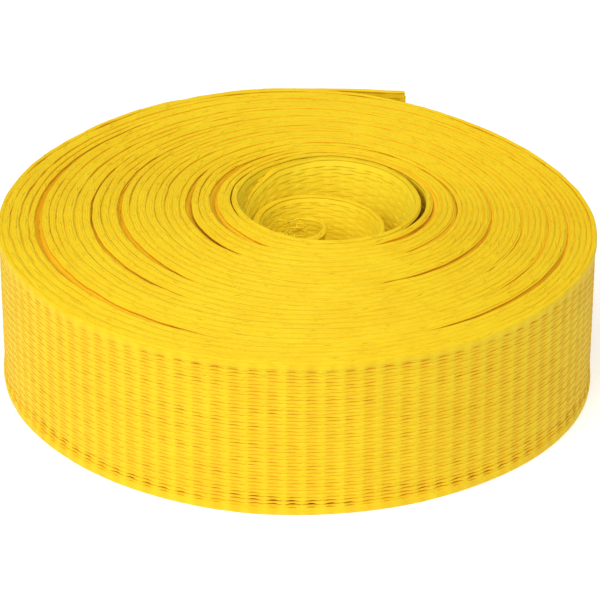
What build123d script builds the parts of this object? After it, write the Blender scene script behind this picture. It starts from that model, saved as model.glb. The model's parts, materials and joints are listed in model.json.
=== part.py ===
from build123d import *
from math import cos, degrees, radians, sin
import os

# A roll of flat lifting webbing, wound without a core and standing on one of its edges.
# The web is one strip. It is wound inward from its free outer end, anticlockwise as seen
# from above, and it ends in a loose loop and a tight curl with frayed yarns in the middle.
# Origin: centre of the roll on the surface it stands on. +Z up, the free end at the back (+Y).

# Driving dimensions, in millimetres
WEB_WIDTH = 50.0
WEB_THICKNESS = 1.2
OUTSIDE_RADIUS = 88.6
WRAPS = 28

# Distance from one wrap to the next on each side of the roll. The roll is wound off centre,
# so front + back and left + right both come to twice the mean pitch.
PITCH_LEFT = 2.54
PITCH_RIGHT = 1.82
PITCH_FRONT = 2.64
PITCH_BACK = 1.72

# The free outer end, and the half turn that peels off the roll behind it
FREE_END_LENGTH = 30.0
PEEL_LINKS = 6
PEEL_ANGLE = 180.0

# The inner wraps that can be pushed out of the roll
CORE_WRAPS = 6

# The slumped inner end: how much each quarter arc's radius shrinks at its far side,
# and how high the bunched web still stands
LOOP_STEPS = (3.5, 4.0, -3.0, 6.5)
LOOP_HEIGHT = 42.0
CURL_STEPS = (4.5, 2.0, 3.5, 0.5)
CURL_HEIGHT = 40.0

# Loose yarns at the cut inner end
YARN_DIAMETER = 0.7
YARN_LENGTH = 7.0
YARN_COUNT = 9

# Room left between pieces that move against each other
CLEARANCE = 0.3

# Worked out from the dimensions above
QUARTER = 90.0
BACK = 90.0
HALF_WEB = WEB_THICKNESS / 2
HINGE_TRIM = HALF_WEB + CLEARANCE
MEAN_PITCH = (PITCH_LEFT + PITCH_RIGHT) / 2
DRIFT_RIGHT = (PITCH_LEFT - PITCH_RIGHT) / 2
DRIFT_BACK = (PITCH_FRONT - PITCH_BACK) / 2
STEP_LEFT = MEAN_PITCH / 4 - DRIFT_RIGHT / 2
STEP_RIGHT = MEAN_PITCH / 4 + DRIFT_RIGHT / 2
STEP_FRONT = MEAN_PITCH / 4 - DRIFT_BACK / 2
STEP_BACK = MEAN_PITCH / 4 + DRIFT_BACK / 2
FIRST_CENTRE = Vector(STEP_LEFT + STEP_FRONT / 2, -STEP_LEFT / 2)
FIRST_RADIUS = OUTSIDE_RADIUS - HALF_WEB
LINK_ANGLE = PEEL_ANGLE / PEEL_LINKS


def point_at(centre, radius, angle):
    """The point at that angle on a circle, in the plane of the base."""
    return centre + Vector(cos(radians(angle)), sin(radians(angle))) * radius


def wind(centre, radius, steps):
    """Tangent quarter arcs (centre, radius, start, sweep) of the web's middle line, starting at the back."""
    arcs = []
    angle = BACK
    for step in steps:
        arcs.append((centre, radius, angle, QUARTER))
        angle += QUARTER
        centre = point_at(centre, step, angle)
        radius -= step
    return arcs, centre, radius


def trimmed(arcs, start_trim, end_trim):
    """The same arcs, shorter at the first and the last end by so many millimetres."""
    arcs = list(arcs)
    centre, radius, start, sweep = arcs[0]
    cut = degrees(start_trim / radius)
    arcs[0] = (centre, radius, start + cut, sweep - cut)
    centre, radius, start, sweep = arcs[-1]
    arcs[-1] = (centre, radius, start, sweep - degrees(end_trim / radius))
    return arcs


def web_end(centre, radius, angle, away):
    """Closes the web's outline: flat where away is 0, or round about the middle line, bulging that way."""
    outer = point_at(centre, radius + HALF_WEB, angle)
    inner = point_at(centre, radius - HALF_WEB, angle)
    if away == 0:
        Line(outer, inner)
    else:
        tip = point_at(point_at(centre, radius, angle), away * HALF_WEB, angle + QUARTER)
        ThreePointArc(outer, tip, inner)


def web_along(arcs, height, label, round_start=False, round_end=False):
    """One length of web that stands on its edge along the arcs, written to its own file."""
    with BuildPart() as web:
        with BuildSketch(Plane.XY):
            with BuildLine():
                for centre, radius, start, sweep in arcs:
                    CenterArc(centre, radius + HALF_WEB, start, sweep)
                    CenterArc(centre, radius - HALF_WEB, start, sweep)
                centre, radius, start, sweep = arcs[0]
                web_end(centre, radius, start, -1 if round_start else 0)
                centre, radius, start, sweep = arcs[-1]
                web_end(centre, radius, start + sweep, 1 if round_end else 0)
            make_face()
        extrude(amount=height)
    web.part.label = label
    export_step(web.part, f"parts/{label}.step")
    return web.part


os.makedirs("parts", exist_ok=True)

# The whole winding, as quarter arcs of the web's middle line
roll_arcs, hole_centre, hole_radius = wind(
    FIRST_CENTRE, FIRST_RADIUS, (STEP_LEFT, STEP_FRONT, STEP_RIGHT, STEP_BACK) * WRAPS
)
loop_arcs, curl_centre, curl_radius = wind(hole_centre, hole_radius, LOOP_STEPS)
curl_arcs, end_centre, end_radius = wind(curl_centre, curl_radius, CURL_STEPS)

# Free end: the straight, cut end of the web, which leaves the roll at a tangent.
# Its inner side is round about the axis it swings on.
with BuildPart() as free_end:
    with BuildSketch(Plane.XY):
        with BuildLine():
            root = point_at(FIRST_CENTRE, FIRST_RADIUS, BACK)
            Line(root + (0, HALF_WEB), root + (FREE_END_LENGTH, HALF_WEB))
            Line(root + (FREE_END_LENGTH, HALF_WEB), root + (FREE_END_LENGTH, -HALF_WEB))
            Line(root + (FREE_END_LENGTH, -HALF_WEB), root - (0, HALF_WEB))
            ThreePointArc(root - (0, HALF_WEB), root - (HALF_WEB, 0), root + (0, HALF_WEB))
        make_face()
    extrude(amount=WEB_WIDTH)
free_end.part.label = "free_end"
export_step(free_end.part, "parts/free_end.step")

# Peeling half turn: six equal lengths of the outermost wrap, each round at the end it swings on
for link in range(PEEL_LINKS):
    link_start = link * LINK_ANGLE
    centre, radius, start, sweep = roll_arcs[int(link_start // QUARTER)]
    link_arc = (centre, radius, BACK + link_start, LINK_ANGLE)
    web_along(trimmed([link_arc], HINGE_TRIM, 0), WEB_WIDTH, f"peel_{link + 1}", round_end=True)

# Wraps, from the outermost to the innermost. The first one is what the peeling half turn leaves of it.
core_start = WRAPS - CORE_WRAPS + 1
for wrap in range(1, WRAPS + 1):
    wrap_arcs = roll_arcs[4 * wrap - 4 : 4 * wrap]
    start_trim = 0
    end_trim = 0
    if wrap == 1:
        wrap_arcs = wrap_arcs[2:]
        start_trim = HINGE_TRIM
    if wrap == core_start - 1:
        end_trim = CLEARANCE
    if wrap == WRAPS:
        end_trim = HINGE_TRIM
    web_along(trimmed(wrap_arcs, start_trim, end_trim), WEB_WIDTH, f"wrap_{wrap:02d}")

# Inner loop and inner curl: the loose inner end of the web, slumped inside the hole
web_along(loop_arcs, LOOP_HEIGHT, "inner_loop", round_start=True)
web_along(curl_arcs, CURL_HEIGHT, "inner_curl")

# Frayed yarns: short loose yarns that lean out of the cut inner end, towards the middle of the curl
with BuildPart() as frayed_yarns:
    cut_end = point_at(end_centre, end_radius, BACK)
    for yarn in range(YARN_COUNT):
        height = CURL_HEIGHT * (yarn + 0.5) / YARN_COUNT
        lean = 190 + 20 * (yarn % 3)
        foot = Plane(cut_end + (-CLEARANCE, 0, height), z_dir=(cos(radians(lean)), sin(radians(lean)), 0))
        with BuildSketch(foot):
            Circle(YARN_DIAMETER / 2)
        extrude(amount=YARN_LENGTH)
frayed_yarns.part.label = "frayed_yarns"
export_step(frayed_yarns.part, "parts/frayed_yarns.step")
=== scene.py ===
import json
import math

import bpy
import numpy as np
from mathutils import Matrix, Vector


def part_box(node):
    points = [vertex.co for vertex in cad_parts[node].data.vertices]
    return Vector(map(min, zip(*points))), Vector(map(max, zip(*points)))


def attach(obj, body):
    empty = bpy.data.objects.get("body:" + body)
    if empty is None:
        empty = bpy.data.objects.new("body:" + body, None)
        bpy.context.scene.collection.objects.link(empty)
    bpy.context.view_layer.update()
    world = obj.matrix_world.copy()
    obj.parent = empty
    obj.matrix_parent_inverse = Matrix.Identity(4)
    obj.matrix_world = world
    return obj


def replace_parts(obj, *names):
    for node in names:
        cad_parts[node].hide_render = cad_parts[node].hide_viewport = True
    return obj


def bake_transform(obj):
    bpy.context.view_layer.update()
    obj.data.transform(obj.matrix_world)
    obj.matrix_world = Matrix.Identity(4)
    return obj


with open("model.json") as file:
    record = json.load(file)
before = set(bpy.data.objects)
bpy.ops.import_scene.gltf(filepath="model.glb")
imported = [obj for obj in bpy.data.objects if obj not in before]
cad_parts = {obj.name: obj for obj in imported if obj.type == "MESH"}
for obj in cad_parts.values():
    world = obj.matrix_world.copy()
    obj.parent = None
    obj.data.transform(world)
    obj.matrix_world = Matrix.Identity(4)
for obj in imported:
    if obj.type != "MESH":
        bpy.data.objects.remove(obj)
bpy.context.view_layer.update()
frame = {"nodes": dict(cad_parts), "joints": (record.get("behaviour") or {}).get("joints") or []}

# Lengths are in millimetres down to build_mesh, which makes metres of them.
MM = 0.001

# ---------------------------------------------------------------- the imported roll

JOINT_AT = {j["name"]: np.array(j.get("pos_m") or (0, 0, 0)) / MM for j in frame["joints"]}
WRAPS = sum(name.startswith("wrap_") for name in frame["nodes"])
LINKS = sum(name.startswith("peel_") for name in frame["nodes"])
LINK_ANGLE = 180 / LINKS
LAST_ROLL_WRAP = 22       # the wraps inside it are the core that a joint pushes out
# how much the radius shrinks after each quarter of the inner loop and of the inner curl, as in the CAD
LOOP_STEPS = (3.5, 4.0, -3.0, 6.5)
CURL_STEPS = (4.5, 2.0, 3.5, 0.5)


def corners(node):
    """Lowest and highest corner of that CAD node's box."""
    low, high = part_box(node)
    return np.array(low) / MM, np.array(high) / MM


web_low, web_high = corners("free_end")
WIDTH = web_high[2] - web_low[2]
CAD_THICKNESS = web_high[1] - web_low[1]
BACK_POINT = JOINT_AT["free_end_swing"][:2]
TAIL_EXTRA = 5.0         # the free end is that much longer in the photograph than in the CAD
TAIL_LENGTH = web_high[0] - BACK_POINT[0] + TAIL_EXTRA
TAIL_DROP = 1.0          # how far its tip bends back toward the roll
LOOP_HEIGHT = corners("inner_loop")[1][2]
CURL_HEIGHT = corners("inner_curl")[1][2]

outer_low, outer_high = corners("wrap_02")
inner_low, inner_high = corners(f"wrap_{LAST_ROLL_WRAP:02d}")
between = LAST_ROLL_WRAP - 2
PITCH_LEFT, PITCH_FRONT = (inner_low[:2] - outer_low[:2]) / between
PITCH_RIGHT, PITCH_BACK = (outer_high[:2] - inner_high[:2]) / between
MEAN_PITCH = (PITCH_LEFT + PITCH_RIGHT) / 2
DRIFT_RIGHT = (PITCH_LEFT - PITCH_RIGHT) / 2
DRIFT_BACK = (PITCH_FRONT - PITCH_BACK) / 2
STEPS = (
    MEAN_PITCH / 4 - DRIFT_RIGHT / 2,
    MEAN_PITCH / 4 - DRIFT_BACK / 2,
    MEAN_PITCH / 4 + DRIFT_RIGHT / 2,
    MEAN_PITCH / 4 + DRIFT_BACK / 2,
)
# the roll is furthest to the left at the third length that peels off
FIRST_RADIUS = BACK_POINT[0] - corners("peel_3")[0][0] - CAD_THICKNESS / 2
FIRST_CENTRE = BACK_POINT - (0, FIRST_RADIUS)

# ---------------------------------------------------------------- the weave

PICK = 5.4               # from one weft bundle to the next, along the web
WARPS = 44               # warp yarns across the web
WARP_PITCH = WIDTH / WARPS
SELVEDGE = 2             # yarns at each edge that lie close, with no slots
RISE = 0.09              # how far a warp yarn stands out where it crosses a weft bundle
YARN_HALF_WIDTH = 0.568  # where it lies over a bundle, against its neighbours
EDGE_YARN_SPREAD = 1.3   # how much wider the yarn next to the edge yarn is
SLOT_HALF_WIDTH = 0.35   # on a yarn's faces between two bundles, where there is a slot on each side of it
SLOT_FLOOR = 0.25        # how much wider it is in the middle of its height, which closes all but wide slots
SLOT_PHASE = 0.58        # along one pick, the share of a yarn's swing up to which the slots are fully open
BAND_PHASE = 0.95        # and from which they are closed
FLANK_BAND = 0.75        # how far a slot may be closed while its flanks still have the deep yarn's painted shade
YARN_HALF_HEIGHT = 0.27  # over a bundle
SLOT_HEIGHT = 0.64       # of a yarn between two bundles, as a share of that
EDGE_SHARE = 0.42        # the edge yarn's half height, as a share of the room it has between its neighbours
EDGE_TAPER = (1.0, 1.0, 0.75, 0.45, 0.15)  # and how it thins over the yarns beside it
CALM_ROWS = 3            # yarns at each edge that ride less over the bundles
YARN_UNEVENNESS = 0.08   # share by which a yarn's height differs by chance

SLOT_CHANCE = 0.07       # how much wider or narrower the slots beside a yarn are by chance
SLOT_SLANT = 0.08        # and in slanting rows, whose phase differs by SLANT_STEP from yarn to yarn
SLANT_STEP = 0.4 * math.pi
LOW_OPENING = 0.14       # how much wider they are near the lower edge, most beside the yarn LOW_ROW
LOW_ROW = 3.0
LOW_SPREAD = 2.0

WEFT_HALF_WIDTH = 0.16
WEFT_HALF_HEIGHT = 0.07
WEFT_WAVE = 0.05         # how far it swings outward and inward between the warp yarns
WEFT_UNEVENNESS = 0.25   # how far it lies off its even place
LOOP_POINTS = 9          # of a strand of weft over an edge
LOOP_FOOT = -0.72        # how high its ends are above the edge, and how much higher its middle
LOOP_RISE = 0.50
LOOP_ROUNDNESS = 0.7
LOOP_ACROSS = 0.35       # how far its ends lie outward and inward
LOOP_HALF_TALL = 0.16
LOOP_HALF_WIDTH = 0.12   # at its ends, and how much more in its middle
LOOP_SWELLING = 0.22

WEB_THICKNESS = 1.46     # over the edges
TOP_ROWS = 2             # warp yarns that a wrap between others has at its upper edge
LOW_ROWS = 1             # and at its lower edge
STEPS_PER_PICK = 5
HIDDEN_STEPS_PER_PICK = 4
LEAST_STEP = 0.2         # of the others near the ends, as a share of a full one
END_STEP = 0.04          # the first and last step, short so that smooth shading stays even there

EDGE_STRANDS = 3         # across the thickness of the upper edge
STRAND_ROW = 0.30        # how far below the upper edge the strands lie, in rows of warp yarn
STRAND_TALL = 0.42       # half height of a strand
OUTER_STRAND_TALL = 0.28  # and how much more the one on the outer face has
STRAND_WIDE = 1.28       # how wide a strand is, as a share of its place, and by how much that differs
STRAND_UNEVENNESS = 0.12
STRAND_REACH = 1.05      # how far the strands spread, as a share of the edge's reach
STRAND_SWAY = 0.10       # how far one sways aside, as a share of the same
STRAND_RISE = -0.24      # how high the middle strand is
STRAND_CROWN = 0.10      # how much lower the ones on the faces are
STRAND_WAVE = 0.10
JOINING_DROP = 0.3       # and how much lower again the joining strand and the one on the outer face are
OUTER_DROP = 0.25
FILLED_SHARE = 1.4       # the widest gap that the bulky upper edges close, as a share of the usual gap
REOPENING = 1.5          # how fast a wider gap opens again, per mm
LEAST_FILLED = 0.12

RIB = 0.05               # how far the hidden band's ribs stand out over the weft bundles
LEAN_ROOM = 0.9          # left between a hidden band and the middle of a wrap that is not hidden
BAND_FOOT = 0.1          # how far the band reaches behind the row below it, in rows
BAND_TOP = 1.4           # and behind the rows above it, beside a narrow gap
BAND_TOP_DROP = 0.9      # how much less beside a wide gap, where it would show
WIDE_FROM = 0.6          # a gap is wide from this size on, and fully so when it is WIDE_OVER more
WIDE_OVER = 1.5

FUNNEL = 0.20            # how far in the innermost turns stand below their edges, as a share of the hole
FUNNEL_BEFORE = 1.1      # from how many turns before the inner loop, and growing over how many
FUNNEL_OVER = 0.4
FLARE_DEPTH = 9.0        # the depth over which they flare outward to their upper edges
MOST_LEAN = 8.0          # how far the start of the inner loop may lean outward
LEAN_BEGINS = 0.04       # the leaning grows over this share of the inner loop's turn
LEAN_ENDS = 0.60         # and is gone at this one, after it has faded over LEAN_FADES
LEAN_FADES = 0.3

# Cross-sections of a warp yarn, as shares of its half sizes: up the web's width, and outward. Between two
# weft bundles it narrows towards both faces, but less in the middle of its height, so that a slot is a
# groove, and only a wide one goes right through.
BAND_SECTION = (
    (1, 0.86), (0.93, 1), (-0.93, 1), (-1, 0.86), (-1, -0.86), (-0.93, -1), (0.93, -1), (1, -0.86),
)
SLOT_SECTION = ((1, 0.15), (0, 1), (0, 1), (-1, 0.15), (-1, -0.15), (0, -1), (0, -1), (1, -0.15))
SLOT_CORNERS = ((1, 1), (2, -1), (5, -1), (6, 1))  # the corners of SLOT_SECTION on a face, and their sides
# of the lowest yarn, rounded below
LOWEST_SECTION = (
    (-1, -0.55), (-0.72, -0.88), (0, -1), (1, -1), (1, 1), (0, 1), (-0.72, 0.88), (-1, 0.55),
)
DIAMOND_SECTION = ((1, 0), (0, 1), (-1, 0), (0, -1))
ROUND_SECTION = tuple((math.cos(a), math.sin(a)) for a in np.radians(np.arange(0, 360, 60)))

# The places of a piece's four materials, and of which of them the sides of a cross-section are
YARN_SLOT, BODY_SLOT, DEEP_SLOT, FACE_SLOT = range(4)
# BODY_SLOT holds painted shade for the gaps; DEEP_SLOT painted shade, except in the open middle; FACE_SLOT
# painted column shade, and in the open middle painted light
SLOT_SIDES = (
    DEEP_SLOT, FACE_SLOT, DEEP_SLOT, DEEP_SLOT, DEEP_SLOT, FACE_SLOT, DEEP_SLOT, DEEP_SLOT,
)
STRAND_SIDES = (YARN_SLOT, DEEP_SLOT, DEEP_SLOT, DEEP_SLOT, DEEP_SLOT, YARN_SLOT)
OUTER_STRAND_SIDES = (YARN_SLOT, YARN_SLOT, YARN_SLOT, DEEP_SLOT, DEEP_SLOT, YARN_SLOT)

# How far apart yarns lie on the texture, so that no two look alike
CORNER_TEXTURE, ROW_TEXTURE = 0.3, 37.0
STRAND_CORNER_TEXTURE, STRAND_TEXTURE = 0.25, 51.0
WEFT_TEXTURE = 5000
LOOP_TEXTURE = 9000
THREAD_CORNER_TEXTURE, THREAD_TEXTURE = 0.2, 9.0

GRID = 720               # stations per turn on which the winding is worked out
TURNS = WRAPS + 2        # with the inner loop and the inner curl
NOISE_KNOTS = 4096       # after which the noise repeats

# How the real roll differs from an even winding: its outline's second to fourth harmonics, as shares of
# its radius, and the turns at which a wider gap runs round between two wraps, with how wide
OUTLINE = ((2, 0.001, -0.0162), (3, 0.0042, -0.0139), (4, 0.0075, -0.0021))
INNER_OUTLINE = 0.15     # the share of that which is left at the hole
WIDE_GAPS = (
    (1.3, 0.9), (2.3, 0.9), (4.3, 2.0), (4.75, 2.6), (7.3, 0.9), (7.75, 2.2), (8.3, 0.9), (10.3, 1.5),
    (10.75, 1.2), (11.75, 1.8), (12.3, 0.9), (13.3, 1.6), (15.3, 0.9), (16.75, 2.8), (17.3, 0.9),
    (18.3, 0.8), (21.3, 1.6), (22.75, 2.4), (24.3, 2.4), (25.75, 3.8), (26.25, -0.45), (26.78, 2.0),
)
GAP_SPREAD = 0.20        # share of a turn over which each of them fades out
CLOSE_GAP = 0.55         # every other gap, as a share of the usual one
LEAST_GAP = 0.06
CLOSED_FRONT = 0.8       # by how much the wide gaps close again at the front and at the back
CLOSED_BACK = 0.45
CLOSED_POWER = 4         # and how suddenly
LOOSE_TURNS = (0, 16, 24, 28)
LOOSENESS = (0.12, 0.16, 0.3, 0.3)  # how uneven the gaps are at those turns
FIRST_TURNS = (0, 0.9, 1.3)
FIRST_GAP = (0.4, 0.4, 1)           # the gap inside the outermost wrap is small
LEAST_ROOM = 0.1         # the least usual gap
SLACK_RANGE = (0.05, 0.55)
# where an innermost wrap stands in from the wrap around it: turn, how far, and over what share of a turn
FOLDS = ((27.79, 1.0, 0.10),)
EVEN_BEFORE = 0.2        # the unevenness ends at the inner loop, from this many turns before it on
EVEN_OVER = 0.5

# Slow waves of the web: size, spacing along it, and seed
GAP_WAVES = ((0.09, 3), (0.23, 4))
TOP_WAVES = ((0.25, 60, 11), (0.14, 17, 12), (0.08, 6, 13))
SWAY_WAVES = ((0.2, 3.2, 17), (0.4, 6.5, 15), (0.4, 15, 16))
FOOT_HEIGHT = 0.12
FOOT_WAVE = 0.12
SWAY = 0.45              # how much of its slack the web sways by at its upper edge
LOW_SWAY = 0.3           # and the share of that at its lower edge
SLUMP_PLACES = (0, 0.12, 0.28, 0.6, 1)  # shares of the inner loop's length, for its slump in top_edge

FRAYED_WARPS = 11
FRAYED_WEFTS = 4
FRAYED_TOP = 0.7         # how far below the upper edge the highest frayed warp yarn is
FRAYED_PITCH = 1.35      # and how far below it the next one
FRAYED_ROOT = 0.6        # how far inside the web they begin
FRAYED_REACH = (7.0, 9.5)
FRAYED_BEND = 2.5
FRAYED_WAVE = 0.9
FRAYED_DROP = (-1.5, 2.0)
FRAYED_RIPPLE = 0.5
FRAYED_RADIUS = (0.20, 0.27)
FRAYED_WEFT_RADIUS = 0.18
FRAYED_WEFT_WAVE = 0.35
FRAYED_STATIONS = 14
THIN_TIP = 0.75          # the radius of a loose thread's tip, as a share of its root's


def smooth_step(x):
    """An even rise from 0 to 1 while x goes from 0 to 1."""
    x = np.clip(x, 0, 1)
    return x * x * (3 - 2 * x)


def smooth_noise(x, spacing, seed):
    """Smooth noise from -1 to 1 along x, one knot every spacing."""
    knots = np.random.RandomState(seed).uniform(-1, 1, NOISE_KNOTS)
    t = np.asarray(x, float) / spacing
    i = np.floor(t).astype(int)
    t = smooth_step(t - i)
    return knots[i % NOISE_KNOTS] * (1 - t) + knots[(i + 1) % NOISE_KNOTS] * t


def wind(centre, radius, steps):
    """Tangent quarter arcs (centre, radius) of the web's middle line, from the back and anticlockwise."""
    arcs = []
    for quarter, step in enumerate(steps):
        arcs.append((centre, radius))
        angle = math.radians(90 + 90 * (quarter + 1))
        centre = centre + step * np.array((math.cos(angle), math.sin(angle)))
        radius -= step
    return arcs


def gap_weights(turn):
    """How wide the gap inside the wrap is at each turn, beside the others at the same angle."""
    weight = np.full_like(turn, CLOSE_GAP)
    toward_back = np.cos(2 * math.pi * turn)
    closing = 1 - CLOSED_FRONT * np.maximum(-toward_back, 0) ** CLOSED_POWER
    closing -= CLOSED_BACK * np.maximum(toward_back, 0) ** CLOSED_POWER
    for at, size in WIDE_GAPS:
        weight += size * closing * np.exp(-(((turn - at) / GAP_SPREAD) ** 2))
    loose = np.interp(turn, LOOSE_TURNS, LOOSENESS)
    weight += sum(loose * smooth_noise(turn, spacing, seed) for spacing, seed in GAP_WAVES)
    weight *= np.interp(turn, FIRST_TURNS, FIRST_GAP)
    return np.maximum(weight, LEAST_GAP)


def lay_web():
    """The web's middle line as laid: at every station its turn, the length along it, its position and
    outward normal, the slack it has, and the gap inside it, as it is and as it usually is there."""
    arcs = wind(FIRST_CENTRE, FIRST_RADIUS, STEPS * WRAPS + LOOP_STEPS + CURL_STEPS)
    count = TURNS * GRID
    turn = np.arange(count + 1) / GRID
    angle = np.radians(90 + 360 * turn)
    quarter = np.minimum((turn * 4).astype(int), len(arcs) - 1)
    centres = np.array([c for c, _ in arcs])[quarter]
    radii = np.array([r for _, r in arcs])[quarter]
    out = np.stack((np.cos(angle), np.sin(angle)), 1)
    line = centres + out * radii[:, None]

    # the gaps, handed inward from turn to turn, so that wraps lie in tight groups with wider gaps between
    pitch = MEAN_PITCH - DRIFT_RIGHT * out[:, 0] - DRIFT_BACK * out[:, 1]
    room = np.maximum(pitch - WEB_THICKNESS, LEAST_ROOM)
    weight = gap_weights(turn)
    rows = weight[: WRAPS * GRID].reshape(WRAPS, GRID)
    ease = np.arange(GRID) / GRID
    usual = rows.mean(0) - ease * (rows[-1] - rows[0, 0]) / WRAPS
    weight /= usual[np.arange(count + 1) % GRID]
    change = room * (weight - 1)
    gap = room * weight
    gap_outside = np.concatenate((gap[:GRID], gap[:-GRID]))
    slack = np.clip(np.minimum(gap, gap_outside) / 2, *SLACK_RANGE)
    inward = np.zeros(count + 1)
    inward[:GRID] = change[0] * smooth_step(ease)
    for start in range(0, (TURNS - 1) * GRID, GRID):
        this, inside = slice(start, start + GRID), slice(start + GRID, start + 2 * GRID)
        inward[inside] = inward[this] + change[this]
    inward[-1] = inward[-2]
    for at, size, spread in FOLDS:
        inward += size * np.exp(-(((turn - at) / spread) ** 2))
    fade = np.clip((turn - WRAPS + EVEN_BEFORE) / EVEN_OVER, 0, 1)
    inward *= 1 - smooth_step(fade)
    outline = sum(c * np.cos(k * angle) + s * np.sin(k * angle) for k, c, s in OUTLINE) * FIRST_RADIUS
    inward -= outline * np.interp(turn, (0, WRAPS), (1, INNER_OUTLINE)) * (1 - fade)
    line = line - out * inward[:, None]

    step = np.gradient(line, axis=0)
    step /= np.linalg.norm(step, axis=1)[:, None]
    normal = np.stack((step[:, 1], -step[:, 0]), 1)
    covered = np.cumsum(np.linalg.norm(np.diff(line, axis=0), axis=1))
    length = TAIL_LENGTH + np.concatenate(([0], covered))
    return turn, length, line, normal, slack, gap, room


turn_at, length_at, line_at, normal_at, slack_at, gap_at, room_at = lay_web()
TAIL_NORMAL = normal_at[0]


def along(turn):
    """Length along the web, from its free end, at that turn."""
    return float(np.interp(turn, turn_at, length_at))


def between_stations(at, known_at, known):
    """The two coordinates known at some stations, at the places between them."""
    return np.stack([np.interp(at, known_at, known[:, i]) for i in (0, 1)], -1)


def middle(s):
    """Position and outward normal of the web's middle line at the lengths s. The free end leaves it along
    its tangent."""
    s = np.asarray(s, float)
    place = between_stations(s, length_at, line_at)
    normal = between_stations(s, length_at, normal_at)
    before = np.maximum(TAIL_LENGTH - s, 0)
    ahead = np.array((-TAIL_NORMAL[1], TAIL_NORMAL[0]))
    drop = TAIL_DROP * (before / TAIL_LENGTH) ** 2
    place -= before[..., None] * ahead + drop[..., None] * TAIL_NORMAL
    normal /= np.linalg.norm(normal, axis=-1)[..., None]
    return place, normal


LOOP_AT, CURL_AT, END_AT = along(WRAPS), along(WRAPS + 1), along(TURNS)
INNER_AT = along(WRAPS - 1)  # from here in, the web shows its inner face in the open middle
INNER_CLOSING = 0.15     # and its slots are narrower by this much


def top_edge(s):
    """Height of the web's upper edge: nearly level, with slow waves, and slumped at the inner end."""
    s = np.asarray(s, float)
    level = sum((size * smooth_noise(s, spacing, seed) for size, spacing, seed in TOP_WAVES), WIDTH)
    loop_length = CURL_AT - LOOP_AT
    places = np.array((*SLUMP_PLACES, (END_AT - LOOP_AT) / loop_length))
    loop_slump, curl_slump = WIDTH - LOOP_HEIGHT, WIDTH - CURL_HEIGHT
    slumps = (0, 1, loop_slump - 1, loop_slump, loop_slump + 1, curl_slump + 1)
    return level - np.interp(s, LOOP_AT + loop_length * places, slumps)


def foot_edge(s):
    """Height of the web's lower edge, which touches the floor here and there."""
    return FOOT_HEIGHT + FOOT_WAVE * smooth_noise(s, spacing=23, seed=14)


def sway(s, share):
    """How far the web sways out of its even winding within the gaps beside it, most at its upper edge."""
    slack = np.interp(s, length_at, slack_at)
    wave = sum(size * smooth_noise(s, spacing, seed) for size, spacing, seed in SWAY_WAVES)
    return SWAY * slack * wave * (LOW_SWAY + (1 - LOW_SWAY) * share * share)


HOLE_CENTRE = line_at[(WRAPS - 1) * GRID : WRAPS * GRID].mean(0)


def lean(s, share, xy, normal):
    """The innermost turns flare outward to their upper edges, like a funnel, and the start of the inner
    loop leans on the wrap around it."""
    turn = np.interp(s, length_at, turn_at)
    flare = np.exp(-(1 - share) * WIDTH / FLARE_DEPTH)
    narrowing = FUNNEL * smooth_step((turn - WRAPS + FUNNEL_BEFORE) / FUNNEL_OVER) * (1 - flare)
    place = xy + (HOLE_CENTRE - xy) * narrowing[..., None]
    depth = WIDTH - top_edge(s) * share
    outer = between_stations(turn - 1, turn_at, line_at)
    outer += (HOLE_CENTRE - outer) * (FUNNEL * (1 - np.exp(-depth / FLARE_DEPTH)))[..., None]
    inner = between_stations(turn, turn_at, line_at)
    free = np.clip(((outer - inner) * normal).sum(-1) - WEB_THICKNESS, 0, MOST_LEAN)
    begins = smooth_step((turn - WRAPS) / LEAN_BEGINS)
    ends = smooth_step((WRAPS + LEAN_ENDS - turn) / LEAN_FADES)
    leaning = free * begins * ends * flare
    return place + normal * leaning[..., None]


# ---------------------------------------------------------------- meshes


def place_points(s, out, share):
    """Points of the web, in space: s along it, out from its middle line, and share of the way up it."""
    s, out, share = np.broadcast_arrays(s, out, share)
    place, normal = middle(s)
    low, high = foot_edge(s), top_edge(s)
    xy = lean(s, share, place + normal * (out + sway(s, share))[..., None], normal)
    return np.concatenate((xy, (low + (high - low) * share)[..., None]), -1)


def texture_places(along_yarn, around, shape):
    """Texture places of points in that shape: a length along their yarn, and a length round it."""
    return np.stack((np.broadcast_to(along_yarn, shape), np.broadcast_to(around, shape)), -1)


def tubes(points, uv, material=YARN_SLOT, smooth=False):
    """Closed tubes from points of shape (tubes, stations, sides, 3), with their texture places and the
    material of every side, or one for all."""
    rows, stations, sides, _ = points.shape
    index = np.arange(rows * stations * sides).reshape(rows, stations, sides)
    around = np.roll(index, -1, axis=2)
    quads = np.stack((index[:, :-1], around[:, :-1], around[:, 1:], index[:, 1:]), -1).reshape(-1, 4)
    # the ends, in quads from the first corner
    caps = []
    for k in range(0, sides - 2, 2):
        corner = (0, k + 1, k + 2, (k + 3) % sides)
        caps.append(index[:, 0][:, corner[::-1]])
        caps.append(index[:, -1][:, corner])
    material = np.broadcast_to(material, (rows, stations - 1, sides)).ravel()
    material = np.concatenate((material, np.full(sum(map(len, caps)), material[0])))
    return points.reshape(-1, 3), np.concatenate([quads, *caps]), uv.reshape(-1, 2), material, smooth


def stations(first, last, per_pick=STEPS_PER_PICK):
    """Lengths along the web from first to last, in step with the weft bundles."""
    step = PICK / per_pick
    between = np.arange(math.floor(first / step) + 1, math.ceil(last / step)) * step
    between = between[(between - first > LEAST_STEP * step) & (last - between > LEAST_STEP * step)]
    return np.concatenate(([first, first + END_STEP], between, [last - END_STEP, last]))


def picks_between(first, last):
    """The first weft bundle after a length along the web, and the last one before another."""
    return math.ceil(first / PICK), math.floor(last / PICK)


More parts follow.
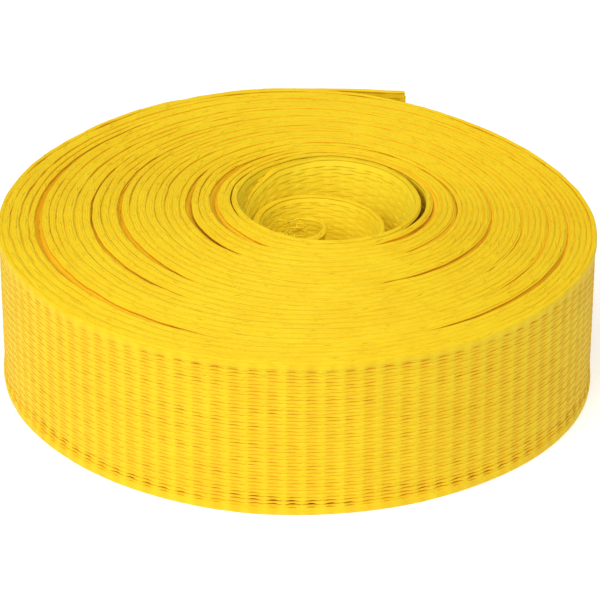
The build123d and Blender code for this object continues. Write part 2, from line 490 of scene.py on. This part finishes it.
def slot_opening(s, row):
    """How much wider or narrower the slots beside a yarn are than usual: by chance, in slanting rows, and
    wider near the lower edge."""
    opening = SLOT_CHANCE * smooth_noise(s + 900 * row, spacing=9, seed=21)
    drift = 2 * smooth_noise(s, spacing=70, seed=22)
    opening += SLOT_SLANT * np.sin(SLANT_STEP * (row + 0.5 * s / PICK) + drift)
    opening += LOW_OPENING * np.exp(-(((row - LOW_ROW) / LOW_SPREAD) ** 2))
    return opening - INNER_CLOSING * (s > INNER_AT)


def warp_yarns(first, last, rows, steps_per_pick=STEPS_PER_PICK):
    """The warp yarns in rows between two lengths along the web. Each rides over and under the weft bundles
    by turns, lies against its neighbours there, and draws in between two bundles, where the slots are. The
    yarns at the edges are thick, and close them like a cord."""
    s = stations(first, last, steps_per_pick)[None, :]
    row = np.arange(*rows)[:, None]
    phase = np.cos(math.pi * s / PICK)
    band = smooth_step((np.abs(phase) - SLOT_PHASE) / (BAND_PHASE - SLOT_PHASE))
    edge = np.minimum(row, WARPS - 1 - row)
    band = np.where(edge < SELVEDGE, 1.0, band)
    face_half = np.minimum(SLOT_HALF_WIDTH - slot_opening(s, row), YARN_HALF_WIDTH)
    core_half = np.minimum(face_half + SLOT_FLOOR, YARN_HALF_WIDTH)
    half_width = core_half + (YARN_HALF_WIDTH - core_half) * band
    half_width *= np.where(edge == 1, EDGE_YARN_SPREAD, 1)
    thicker = np.interp(edge, np.arange(len(EDGE_TAPER) + 1), (*EDGE_TAPER, 0))
    room = EDGE_SHARE * (WEB_THICKNESS + 2 * np.interp(s, length_at, slack_at))
    half_height = YARN_HALF_HEIGHT + (room - YARN_HALF_HEIGHT) * thicker
    half_height *= SLOT_HEIGHT + (1 - SLOT_HEIGHT) * band
    half_height *= 1 + YARN_UNEVENNESS * smooth_noise(s + 300 * row, spacing=4, seed=24)
    out = np.where(row % 2 == 0, 1.0, -1.0) * RISE * phase * np.minimum(edge / CALM_ROWS, 1)

    slot = np.broadcast_to(SLOT_SECTION, (*band.shape, len(SLOT_SECTION), 2)).copy()
    for corner, side in SLOT_CORNERS:
        slot[..., corner, 0] = side * face_half / core_half
    section = slot + (np.array(BAND_SECTION) - slot) * band[..., None, None]
    section[row[:, 0] == 0] = LOWEST_SECTION
    across = (row + 0.5)[..., None] + section[..., 0] * half_width[..., None] / WARP_PITCH
    outward = out[..., None] + section[..., 1] * half_height[..., None]
    points = place_points(s[..., None], outward, across / WARPS)
    round_place = CORNER_TEXTURE * np.arange(section.shape[2]) + ROW_TEXTURE * row[..., None]
    uv = texture_places(s[..., None], across * WARP_PITCH + round_place, across.shape)
    # slot flanks take DEEP_SLOT, painted shade outside the open middle; faces take FACE_SLOT, with painted
    # column shade
    in_slot = band[:, :-1, None] < FLANK_BAND
    return tubes(points, uv, material=np.where(in_slot, SLOT_SIDES, FACE_SLOT))


def weft_bundles(first, last):
    """The weft bundles from edge to edge, which weave between the warp yarns."""
    start, end = picks_between(first, last)
    picks = np.arange(start, end + 1)
    if len(picks) == 0:
        return []
    row = np.arange(WARPS - 1)
    s = picks * PICK + WEFT_UNEVENNESS * smooth_noise(picks * 7.3, spacing=1, seed=31)
    out = WEFT_WAVE * np.where((row[None, :] + picks[:, None]) % 2 == 0, -1.0, 1.0)
    share = (row + 0.5)[None, :, None] / WARPS
    section = np.array(DIAMOND_SECTION)
    along_web = s[:, None, None] + section[:, 0] * WEFT_HALF_WIDTH
    outward = out[..., None] + section[:, 1] * WEFT_HALF_HEIGHT
    points = place_points(along_web, outward, share)
    uv = texture_places(share * WIDTH, along_web + WEFT_TEXTURE, points.shape[:-1])
    # the weft bundles take the painted shade of DEEP_SLOT outside the open middle
    return [tubes(points, uv, material=DEEP_SLOT)]


def edge_loops(first, last, at_top):
    """Where the weft turns back at an edge: a flat strand over it from each second bundle to the next."""
    odd = 0 if at_top else 1
    picks = np.arange(*picks_between(first, last))
    picks = picks[picks % 2 == odd]
    if len(picks) == 0:
        return []
    t = np.linspace(0, 1, LOOP_POINTS)
    s = (picks[:, None] + t) * PICK
    bulge = np.sin(math.pi * t) ** LOOP_ROUNDNESS
    rise = LOOP_FOOT + LOOP_RISE * bulge
    share = np.broadcast_to(1 + rise / WIDTH if at_top else -rise / WIDTH, s.shape)
    out = LOOP_ACROSS * np.cos(math.pi * t) * np.where(picks % 4 == odd, 1, -1)[:, None]
    section = np.array(ROUND_SECTION)
    across = share[..., None] + section[:, 1] * LOOP_HALF_TALL / WIDTH
    outward = out[..., None] + section[:, 0] * (LOOP_HALF_WIDTH + LOOP_SWELLING * bulge)[:, None]
    points = place_points(s[..., None], outward, across)
    uv = texture_places(s[..., None], LOOP_TEXTURE + 0.4 * section[:, 0], across.shape)
    return [tubes(points, uv, smooth=True)]


def gaps_beside(turn):
    """The gaps outside and inside the web at a turn."""
    return [np.interp(at, turn_at, gap_at) for at in (turn - 1, turn)]


def edge_reach(s):
    """How far the upper edge reaches outward and inward of the middle line. It is bulky, and fills a narrow
    gap."""
    turn = np.interp(s, length_at, turn_at)
    most = FILLED_SHARE * np.interp(turn, turn_at, room_at)
    reach = []
    for gap in gaps_beside(turn):
        filled = np.maximum(np.minimum(gap, most - REOPENING * (gap - most)), LEAST_FILLED)
        reach.append((WEB_THICKNESS + filled) / 2)
    reach[0] = np.where(turn < 1, WEB_THICKNESS / 2, reach[0])
    return reach


def edge_strands(first, last):
    """The strands side by side that make the upper edge, each with its own slight waves, and a lower one
    that joins it to the wrap outside. The free end and the outermost turn have no such strand."""
    s = stations(first, last)[None, :]
    count = EDGE_STRANDS + (last > along(1))
    strand = np.arange(count)[:, None]
    joining = strand == EDGE_STRANDS
    outermost = strand == EDGE_STRANDS - 1
    place = np.where(joining, 1, 2 * (strand + 0.5) / EDGE_STRANDS - 1) + 0 * s
    reach_out, reach_in = edge_reach(s)
    room = (reach_out + reach_in) / 2
    uneven = STRAND_UNEVENNESS * smooth_noise(s + 800 * strand, spacing=3.5, seed=42)
    half = room / EDGE_STRANDS * (STRAND_WIDE + uneven)
    spread = np.where(joining, 1, STRAND_REACH - 1 / EDGE_STRANDS)
    out = (reach_out - reach_in) / 2 + room * spread * place
    out = out + STRAND_SWAY * room * smooth_noise(s + 500 * strand, spacing=4.5, seed=43)
    wave = STRAND_WAVE * smooth_noise(s + 300 * strand, spacing=4.0, seed=44)
    rise = STRAND_RISE - STRAND_CROWN * place ** 2 + wave
    rise = rise - JOINING_DROP * joining - OUTER_DROP * outermost
    tall = STRAND_TALL + OUTER_STRAND_TALL * outermost
    section = np.array(ROUND_SECTION)
    across = (rise[..., None] + section[:, 0] * tall[..., None]) / WIDTH + (WARPS - STRAND_ROW) / WARPS
    outward = out[..., None] + section[:, 1] * half[..., None]
    points = place_points(s[..., None], outward, across)
    round_place = STRAND_CORNER_TEXTURE * np.arange(len(section)) + STRAND_TEXTURE * strand[..., None]
    uv = texture_places(s[..., None], round_place, across.shape)
    # their lower and inner sides take the painted shade of DEEP_SLOT outside the open middle
    material = np.where(outermost[..., None], OUTER_STRAND_SIDES, STRAND_SIDES)
    return tubes(points, uv, material=material, smooth=True)


def hidden_body(first, last, rows, full_outside, full_inside):
    """The part of a wrap that its neighbours hide, as one closed band, ribbed like the web. Loose web leans
    on its neighbours below its edge, so the band takes half the room on each side, or nearly all of it
    where that neighbour is full."""
    s = stations(first, last, HIDDEN_STEPS_PER_PICK)
    rib = RIB * np.cos(2 * math.pi * s / PICK)
    foot = np.full_like(s, rows[0] - BAND_FOOT)
    gaps = gaps_beside(np.interp(s, length_at, turn_at))
    sides = []
    for gap, full_beside in zip(gaps, (full_outside, full_inside)):
        room = WEB_THICKNESS + gap
        reach = (room - LEAN_ROOM if full_beside else room / 2) + rib
        top = rows[1] + BAND_TOP - BAND_TOP_DROP * smooth_step((gap - WIDE_FROM) / WIDE_OVER)
        sides.append((reach, top))
    (outer, outer_top), (inner, inner_top) = sides
    outward = np.stack((outer, outer, outer, -inner, -inner, -inner), 1)
    levels = (foot, (foot + outer_top) / 2, outer_top, inner_top, (foot + inner_top) / 2, foot)
    share = np.stack(levels, 1) / WARPS
    points = place_points(s[:, None], outward, share)[None]
    uv = texture_places(s[:, None], share * WIDTH, outward.shape)[None]
    # its material is painted shade for the gaps between wraps
    return tubes(points, uv, material=BODY_SLOT, smooth=True)


def build_mesh(name, parts, materials):
    """One object from several (points, quads, texture places, material, smooth)."""
    first_point = np.cumsum([0] + [len(p[0]) for p in parts])
    points = np.concatenate([p[0] for p in parts])
    quads = np.concatenate([p[1] + start for p, start in zip(parts, first_point)])
    uvs = np.concatenate([p[2] for p in parts])
    slots = np.concatenate([p[3] for p in parts]).astype(np.int32)
    smooth = np.concatenate([np.full(len(p[1]), p[4], bool) for p in parts])
    mesh = bpy.data.meshes.new(name)
    mesh.vertices.add(len(points))
    mesh.vertices.foreach_set("co", (points * MM).astype(np.float32).ravel())
    mesh.loops.add(quads.size)
    mesh.loops.foreach_set("vertex_index", quads.astype(np.int32).ravel())
    mesh.polygons.add(len(quads))
    mesh.polygons.foreach_set("loop_start", np.arange(0, quads.size, 4, dtype=np.int32))
    mesh.polygons.foreach_set("material_index", slots)
    mesh.update(calc_edges=True)
    mesh.polygons.foreach_set("use_smooth", smooth)
    layer = mesh.uv_layers.new(name="web")
    layer.data.foreach_set("uv", uvs[quads.ravel()].astype(np.float32).ravel())
    mesh.update()
    for material in materials:
        mesh.materials.append(material)
    piece = bpy.data.objects.new(name, mesh)
    bpy.context.scene.collection.objects.link(piece)
    return piece


def web_piece(name, first, last, full=True, full_beside=(False, False)):
    """A length of web. A full one has every yarn; the others have the yarns that show, and one band behind
    them."""
    parts = [edge_strands(first, last)]
    if full:
        parts.append(warp_yarns(first, last, (0, WARPS - 1)))
        parts += weft_bundles(first, last)
    else:
        parts.append(warp_yarns(first, last, (WARPS - TOP_ROWS, WARPS - 1)))
        parts.append(warp_yarns(first, last, (0, LOW_ROWS), HIDDEN_STEPS_PER_PICK))
        parts.append(hidden_body(first, last, (LOW_ROWS, WARPS - TOP_ROWS), *full_beside))
    for at_top in (True, False):
        parts += edge_loops(first, last, at_top)
    # the hidden band has painted gap shade; in the open middle the slots are plain yarn and the faces
    # painted light, elsewhere both painted shade
    materials = (YARN, GAP_SHADE_WEB, YARN, INNER_PAINTED_LIGHT) if first >= INNER_AT else (YARN, GAP_SHADE_WEB, SLOT_SHADE_YARN, FACE_COLUMN_SHADE)
    piece = build_mesh(name, parts, materials)
    return piece


# ---------------------------------------------------------------- materials


DRIFT_SHARE = 0.35       # how much of a yarn's tone is slow drift, and the rest is its filaments
TONE_RANGE = (0.30, 0.72)


def wave_scale(spacing):
    """The scale at which Blender's wave texture repeats at that spacing."""
    return 2 * math.pi / spacing / 20


def yarn_material(name, dark, light, bump_height, woven=False, columns=0.0):
    """Dyed polyester multifilament: fine filaments along each yarn, a slow drift of tone, and a soft sheen.
    The tone may be lighter in columns over the weft bundles, a painted shade of the slot columns between
    them, and the bumps those of a whole weave."""
    material = bpy.data.materials.new(name)
    material.use_nodes = True
    nodes, links = material.node_tree.nodes, material.node_tree.links
    shader = nodes["Principled BSDF"]
    shader.inputs["Roughness"].default_value = 0.62
    shader.inputs["Specular IOR Level"].default_value = 0.20
    shader.inputs["Sheen Weight"].default_value = 0.04
    shader.inputs["Sheen Roughness"].default_value = 0.45
    shader.inputs["Sheen Tint"].default_value = (1.0, 0.86, 0.35, 1)

    places = nodes.new("ShaderNodeUVMap")
    places.uv_map = "web"
    stretch = nodes.new("ShaderNodeMapping")
    stretch.inputs["Scale"].default_value = (0.55, 9.0, 1.0)
    links.new(places.outputs["UV"], stretch.inputs["Vector"])
    filaments = nodes.new("ShaderNodeTexNoise")
    filaments.inputs["Scale"].default_value = 1.0
    filaments.inputs["Detail"].default_value = 3.0
    links.new(stretch.outputs["Vector"], filaments.inputs["Vector"])

    where = nodes.new("ShaderNodeTexCoord")
    drift = nodes.new("ShaderNodeTexNoise")
    drift.inputs["Scale"].default_value = 90.0
    drift.inputs["Detail"].default_value = 2.0
    links.new(where.outputs["Object"], drift.inputs["Vector"])
    blend = nodes.new("ShaderNodeMath")
    blend.operation = "MULTIPLY_ADD"
    blend.inputs[1].default_value = DRIFT_SHARE
    links.new(drift.outputs["Fac"], blend.inputs[0])
    scaled = nodes.new("ShaderNodeMath")
    scaled.operation = "MULTIPLY"
    scaled.inputs[1].default_value = 1 - DRIFT_SHARE
    links.new(filaments.outputs["Fac"], scaled.inputs[0])
    links.new(scaled.outputs[0], blend.inputs[2])
    # painted column shade: lighter tone over the weft bundles, darker over the slots between them
    bands = nodes.new("ShaderNodeTexWave")
    bands.wave_type = "BANDS"
    bands.bands_direction = "X"
    bands.inputs["Scale"].default_value = wave_scale(PICK)
    bands.inputs["Phase Offset"].default_value = math.pi
    links.new(places.outputs["UV"], bands.inputs["Vector"])
    banded = nodes.new("ShaderNodeMath")
    banded.operation = "MULTIPLY_ADD"
    banded.inputs[1].default_value = columns
    links.new(bands.outputs["Fac"], banded.inputs[0])
    links.new(blend.outputs[0], banded.inputs[2])
    tone = nodes.new("ShaderNodeValToRGB")
    for element, position, color in zip(tone.color_ramp.elements, TONE_RANGE, (dark, light)):
        element.position = position + columns / 2
        element.color = (*color, 1)
    links.new(banded.outputs[0], tone.inputs["Fac"])
    links.new(tone.outputs["Color"], shader.inputs["Base Color"])

    height = filaments.outputs["Fac"]
    if woven:
        rows = nodes.new("ShaderNodeTexWave")
        rows.wave_type = "BANDS"
        rows.bands_direction = "Y"
        rows.inputs["Scale"].default_value = wave_scale(WARP_PITCH)
        rows.inputs["Distortion"].default_value = 0.6
        links.new(places.outputs["UV"], rows.inputs["Vector"])
        height = rows.outputs["Fac"]
    bump = nodes.new("ShaderNodeBump")
    bump.inputs["Strength"].default_value = 0.6
    bump.inputs["Distance"].default_value = bump_height * MM
    links.new(height, bump.inputs["Height"])
    links.new(bump.outputs["Normal"], shader.inputs["Normal"])
    return material


FINE_BUMP, INNER_BUMP, WEAVE_BUMP = 0.09, 0.07, 0.35
YARN = yarn_material("polyester_yarn", (0.84, 0.54, 0.006), (0.92, 0.69, 0.015), FINE_BUMP)
# with painted shade in columns: darker over the slots, lighter over the weft bundles
FACE_COLUMN_SHADE = yarn_material("polyester_face_column_shade", (0.84, 0.53, 0.006), (0.92, 0.69, 0.015), FINE_BUMP, columns=0.18)
# painted shade beside the slots, on the weft bundles and under the edge strands: darker, and more orange
# for the light that has passed through yarn
SLOT_SHADE_YARN = yarn_material("deep_yarn_painted_shade", (0.84, 0.41, 0.004), (0.90, 0.53, 0.009), FINE_BUMP)
# painted shade for the gaps between wraps, where this hidden band shows: more orange than the yarn
GAP_SHADE_WEB = yarn_material("hidden_web_painted_shade", (0.90, 0.49, 0.006), (0.93, 0.58, 0.012), WEAVE_BUMP, woven=True)
# painted light: in the open middle, lighter for the light that comes through the web there
INNER_PAINTED_LIGHT = yarn_material("inner_face_painted_light", (0.95, 0.68, 0.014), (0.99, 0.80, 0.030), INNER_BUMP, columns=0.06)

# ---------------------------------------------------------------- camera and light

CAMERA_ELEVATION = math.radians(28.66)
CAMERA_DISTANCE = 1.001
aim = Vector((0, 0, WIDTH / 2 * MM))
camera_data = bpy.data.cameras.new("camera")
camera_data.sensor_width = 36.0
camera_data.lens = 198.7
camera_data.shift_x = 0.0089
camera_data.shift_y = -0.0186
camera_data.clip_start = 0.05
camera = bpy.data.objects.new("camera", camera_data)
toward_camera = Vector((0, -math.cos(CAMERA_ELEVATION), math.sin(CAMERA_ELEVATION)))
camera.location = aim + CAMERA_DISTANCE * toward_camera
camera.rotation_euler = (math.pi / 2 - CAMERA_ELEVATION, 0, 0)
bpy.context.scene.collection.objects.link(camera)
bpy.context.scene.camera = camera


def soft_light(name, place, size, watts):
    """A square area light that looks at the roll's middle."""
    data = bpy.data.lights.new(name, "AREA")
    data.shape = "SQUARE"
    data.size = size
    data.energy = watts
    light = bpy.data.objects.new(name, data)
    light.location = place
    light.rotation_euler = (aim - Vector(place)).to_track_quat("-Z", "Y").to_euler()
    bpy.context.scene.collection.objects.link(light)


soft_light("key", place=(-0.97, -1.10, 1.45), size=1.5, watts=19.7)
soft_light("fill", place=(0.0, -0.65, 1.8), size=1.4, watts=20.5)

world = bpy.data.worlds.new("studio")
world.use_nodes = True
background = world.node_tree.nodes["Background"]
background.inputs["Color"].default_value = (1, 1, 1, 1)
background.inputs["Strength"].default_value = 0.28
bpy.context.scene.world = world
bpy.context.scene.view_settings.view_transform = "Standard"

FLOOR_HALF = 4           # in metres
floor_corners = [(x * FLOOR_HALF, y * FLOOR_HALF, 0) for x, y in ((-1, -1), (1, -1), (1, 1), (-1, 1))]
floor_mesh = bpy.data.meshes.new("floor")
floor_mesh.from_pydata(floor_corners, [], [(0, 1, 2, 3)])
floor = bpy.data.objects.new("floor", floor_mesh)
floor_material = bpy.data.materials.new("pale_floor")
floor_material.use_nodes = True
# it gives off a little light of its own, which makes the photograph's plain white of it
floor_shader = floor_material.node_tree.nodes["Principled BSDF"]
floor_shader.inputs["Base Color"].default_value = (0.75, 0.75, 0.75, 1)
floor_shader.inputs["Roughness"].default_value = 0.9
floor_shader.inputs["Emission Color"].default_value = (1, 1, 1, 1)
floor_shader.inputs["Emission Strength"].default_value = 0.45
floor_mesh.materials.append(floor_material)
bpy.context.scene.collection.objects.link(floor)

# ---------------------------------------------------------------- the pieces


def at_degrees(degrees):
    """Length along the web where it has turned to that angle round the roll, from 90 at the back."""
    return along((degrees - 90) / 360)


def point_on_web(s):
    """The point halfway up the web at that length along it, in metres."""
    place, _ = middle(s)
    return (*(place * MM), WIDTH / 2 * MM)


BEND_BEHIND = 0.5        # a point this far past the hinge on the roll's side is worked out and not used
BEND_AHEAD = 10          # the free end's bend begins this far past the hinge on the free side
LOOP_ROOT = 0.25         # turns of the inner loop that are a piece of their own, its root
LOOP_FLEX = 0.12         # turns into the inner loop at which a point is worked out and not used

# the free end, and the bend where it leaves the roll
half_link = LINK_ANGLE / 2
bend_start = TAIL_LENGTH + BEND_BEHIND
bend_end = TAIL_LENGTH - BEND_AHEAD
first_link_middle = at_degrees(90 + half_link)
piece = web_piece("free_end_web", 0, bend_end)
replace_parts(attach(piece, "free_end"), "free_end")
piece = web_piece("free_end_bend", bend_end, first_link_middle)
point_on_web(bend_start)
point_on_web(bend_end)
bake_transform(piece)

# the half turn that peels off, each length centred on a hinge
for link in range(1, LINKS + 1):
    hinge = 90 + link * LINK_ANGLE
    first, last = at_degrees(hinge - half_link), at_degrees(hinge + half_link)
    piece = web_piece(f"peel_web_{link}", first, last)
    point_on_web(last)
    point_on_web(first)
    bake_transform(piece)
    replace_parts(piece, f"peel_{link}")

# the wraps; those that a pose or the open middle shows are full, and so is the half of the second wrap
# that the peeled web uncovers
FULL_WRAPS = (1, LAST_ROLL_WRAP + 1, WRAPS - 1, WRAPS)
for wrap in range(1, WRAPS + 1):
    node = f"wrap_{wrap:02d}"
    first, last = along(wrap - 1), along(wrap)
    body = "roll" if wrap <= LAST_ROLL_WRAP else "core"
    full_beside = [other in FULL_WRAPS for other in (wrap - 1, wrap + 1)]
    if wrap == 1:
        first = at_degrees(90 + LINKS * LINK_ANGLE + half_link)
    if wrap in (2, LAST_ROLL_WRAP):
        half = along(wrap - 0.5)
        piece = web_piece(f"{node}_outer_half", first, half, wrap == 2, full_beside)
        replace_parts(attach(piece, body), node)
        first = half
    piece = web_piece(f"{node}_web", first, last, wrap in FULL_WRAPS, full_beside)
    if wrap == LAST_ROLL_WRAP:
        point_on_web(first)
        point_on_web(last)
        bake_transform(piece)
    else:
        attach(piece, body)
    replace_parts(piece, node)

# the inner end
root_end = along(WRAPS + LOOP_ROOT)
flex_end = along(WRAPS + LOOP_FLEX)
piece = web_piece("inner_loop_root", LOOP_AT, root_end)
point_on_web(LOOP_AT)
point_on_web(flex_end)
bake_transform(piece)
piece = web_piece("inner_loop_web", root_end, CURL_AT)
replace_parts(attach(piece, "inner_end"), "inner_loop")
piece = web_piece("inner_curl_web", CURL_AT, END_AT)
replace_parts(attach(piece, "inner_end"), "inner_curl")


def thread(path, radius, number):
    """One loose thread along a path, a little thinner at its tip."""
    forward = np.gradient(path, axis=0)
    forward /= np.linalg.norm(forward, axis=1)[:, None]
    side = np.cross(forward, (0.31, 0.17, 0.93))
    side /= np.linalg.norm(side, axis=1)[:, None]
    up = np.cross(side, forward)
    thin = radius * np.linspace(1, THIN_TIP, len(path))
    section = np.array(ROUND_SECTION)
    ring = side[:, None] * section[:, :1] + up[:, None] * section[:, 1:]
    points = (path[:, None] + ring * thin[:, None, None])[None]
    round_place = THREAD_CORNER_TEXTURE * np.arange(len(section)) + THREAD_TEXTURE * number
    uv = texture_places(0.5 * np.arange(len(path))[:, None], round_place, ring.shape[:2])[None]
    return tubes(points, uv, smooth=True)


def frayed_threads():
    """Warp yarns that have come out of the cut end, and bits of weft that still hang across them, like a
    net."""
    step = np.linspace(0, 1, FRAYED_STATIONS)
    cut, normal = middle(END_AT)
    ahead = np.array((-normal[1], normal[0]))
    random = np.random.RandomState(61)
    parts, ends = [], []
    for number in range(FRAYED_WARPS):
        height = top_edge(END_AT) - FRAYED_TOP - FRAYED_PITCH * number
        reach = random.uniform(*FRAYED_REACH)
        bend = random.uniform(-FRAYED_BEND, FRAYED_BEND)
        wave = random.uniform(-FRAYED_WAVE, FRAYED_WAVE)
        drop = random.uniform(*FRAYED_DROP)
        aside = bend * step ** 2 + wave * np.sin(math.pi * 2.2 * step + number)
        flat = cut + ahead * (reach * step - FRAYED_ROOT)[:, None] + normal * aside[:, None]
        ripple = FRAYED_RIPPLE * np.sin(math.pi * 3 * step + 2 * number) * step
        rise = height + drop * step ** 1.5 + ripple
        path = np.concatenate((flat, rise[:, None]), 1)
        ends.append(path)
        parts.append(thread(path, random.uniform(*FRAYED_RADIUS), number))
    for number in range(FRAYED_WEFTS):
        at = 3 + 2 * number
        crossed = ends[number % 3 :][: random.randint(4, 7)]
        across = np.array([path[at + (k + number % 3) % 2] for k, path in enumerate(crossed)])
        known = np.arange(len(across))
        place = np.linspace(0, len(across) - 1, 4 * len(across))
        path = np.stack([np.interp(place, known, across[:, i]) for i in range(3)], 1)
        path[:, :2] += normal * FRAYED_WEFT_WAVE * np.cos(math.pi * place)[:, None]
        parts.append(thread(path, FRAYED_WEFT_RADIUS, 40 + number))
    return parts


# with the painted light of the open middle
piece = build_mesh("frayed_threads", frayed_threads(), (INNER_PAINTED_LIGHT,))
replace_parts(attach(piece, "inner_end"), "frayed_yarns")
